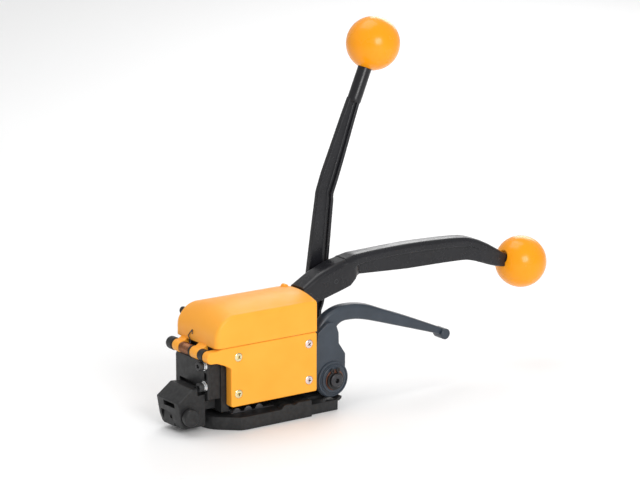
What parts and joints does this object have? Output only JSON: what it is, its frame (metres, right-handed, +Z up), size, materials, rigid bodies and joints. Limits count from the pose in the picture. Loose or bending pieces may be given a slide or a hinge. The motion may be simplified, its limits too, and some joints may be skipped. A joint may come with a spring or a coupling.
{
  "type": "strapping tensioner tool",
  "caption": "Hand tool with two ball-topped levers that pulls steel strap tight, punches a seal-less joint and cuts the strap.",
  "frame": {"origin": "middle of the underside of the base plate", "axes": "+X to the rear where the handles point, -Y to the open side where the strap slides in, +Z up"},
  "size_m": [0.4296, 0.0826, 0.3492],
  "materials": {
    "orange_paint": "orange enamel, satin gloss",
    "orange_knob": "glossy moulded orange",
    "black_enamel": "gloss black enamel",
    "black_phosphate": "matt blue-black phosphate",
    "slate_steel": "satin slate-blue oxide",
    "steel": "ground steel",
    "zinc": "bright zinc plate",
    "spring_steel": "copper-brown spring wire",
    "bronze": "sintered bronze",
    "black_rubber": "black rubber"
  },
  "bodies": {
    "base": {"base_plate": "black_phosphate", "gripper_plate": "steel", "gripper_screws": "zinc", "lower_dies": "steel", "frame": "black_phosphate", "frame_bolts": "steel", "side_cover": "orange_paint", "side_cover_screws": "zinc", "hinge_pin": "black_phosphate", "cover_spring": "spring_steel", "front_plate": "black_phosphate", "front_plate_washers": "zinc", "front_plate_screws": "zinc", "guide_block": "black_phosphate", "guide_jaw": "black_phosphate", "guide_jaw_screw": "black_phosphate", "cam_bushes": "bronze", "rocker_pivot_pin": "steel", "rocker_spring": "spring_steel", "slide_springs": "spring_steel"},
    "cover": {"top_cover": "orange_paint", "cover_bumper": "black_rubber"},
    "sealing_lever": {"cam_shaft": "steel", "sealing_cams": "steel", "crank_arm": "black_phosphate", "crank_pins": "steel", "sealing_handle": "black_enamel", "sealing_knob": "orange_knob"},
    "punch_carrier": {"punch_slide": "steel", "cam_shoe": "steel", "sealing_punches": "steel", "cutter_blade": "steel"},
    "rocker_arm": {"rocker": "slate_steel", "far_cheek": "slate_steel", "shaft_bushes": "bronze", "holding_pawl_pin": "steel", "holding_pawl_spring": "spring_steel"},
    "tension_lever": {"tension_handle": "black_enamel", "tension_knob": "orange_knob", "handle_bush": "bronze", "drive_pawl_pin": "steel", "drive_pawl_spring": "spring_steel"},
    "feed_train": {"feed_shaft": "steel", "feed_wheel": "steel", "ratchet_wheel": "steel", "circlips": "black_phosphate", "thrust_washer": "bronze", "feed_spacers": "steel"},
    "drive_pawl_body": {"drive_pawl": "steel"},
    "holding_pawl_body": {"holding_pawl": "steel"},
    "knob_body": {"guide_knob": "black_phosphate"}
  },
  "joints": [
    {"name": "sealing_swing", "type": "hinge", "parent": "base", "child": "sealing_lever", "pos_m": [-0.012, 0, 0.088], "axis": [0, -1, 0], "range_deg": [0, 43]},
    {"name": "cover_lift", "type": "hinge", "parent": "base", "child": "cover", "pos_m": [-0.071, 0, 0.0703], "axis": [0, -1, 0], "range_deg": [0, 95], "deforming": ["cover_spring"]},
    {"name": "punch_drop", "type": "slide", "parent": "base", "child": "punch_carrier", "axis": [0, 0, -1], "range_m": [0, 0.0075], "deforming": ["slide_springs"]},
    {"name": "rocker_lift", "type": "hinge", "parent": "base", "child": "rocker_arm", "pos_m": [0.026, 0, 0.052], "axis": [0, -1, 0], "range_deg": [0, 8], "stiffness_Nm_per_rad": 20, "springref_deg": -17.19, "deforming": ["rocker_spring"]},
    {"name": "tension_swing", "type": "hinge", "parent": "rocker_arm", "child": "tension_lever", "pos_m": [0.0618, 0, 0.0286], "axis": [0, 1, 0], "range_deg": [-12, 48]},
    {"name": "feed_turn", "type": "hinge", "parent": "rocker_arm", "child": "feed_train", "pos_m": [0.0618, 0, 0.0286], "axis": [0, 1, 0], "range_deg": [-12, 48]},
    {"name": "drive_pawl_lift", "type": "hinge", "parent": "tension_lever", "child": "drive_pawl_body", "pos_m": [0.0708, 0.0136, 0.0506], "axis": [0, 1, 0], "range_deg": [0, 12], "stiffness_Nm_per_rad": 0.02, "springref_deg": -22.92},
    {"name": "holding_pawl_lift", "type": "hinge", "parent": "rocker_arm", "child": "holding_pawl_body", "pos_m": [0.0466, 0.0136, 0.044], "axis": [0, 1, 0], "range_deg": [0, 12], "stiffness_Nm_per_rad": 0.02, "springref_deg": -22.92},
    {"name": "guide_knob_turn", "type": "hinge", "parent": "base", "child": "knob_body", "pos_m": [-0.088, 0, 0.0165], "axis": [0, -1, 0], "range_deg": [-180, 180]}
  ],
  "couplings": [
    {"joint": "cover_lift", "follows": "sealing_swing", "ratio": 0.72},
    {"joint": "punch_drop", "follows": "sealing_swing", "m_per_rad": 0.0095493},
    {"joint": "feed_turn", "follows": "tension_swing", "ratio": 1}
  ]
}
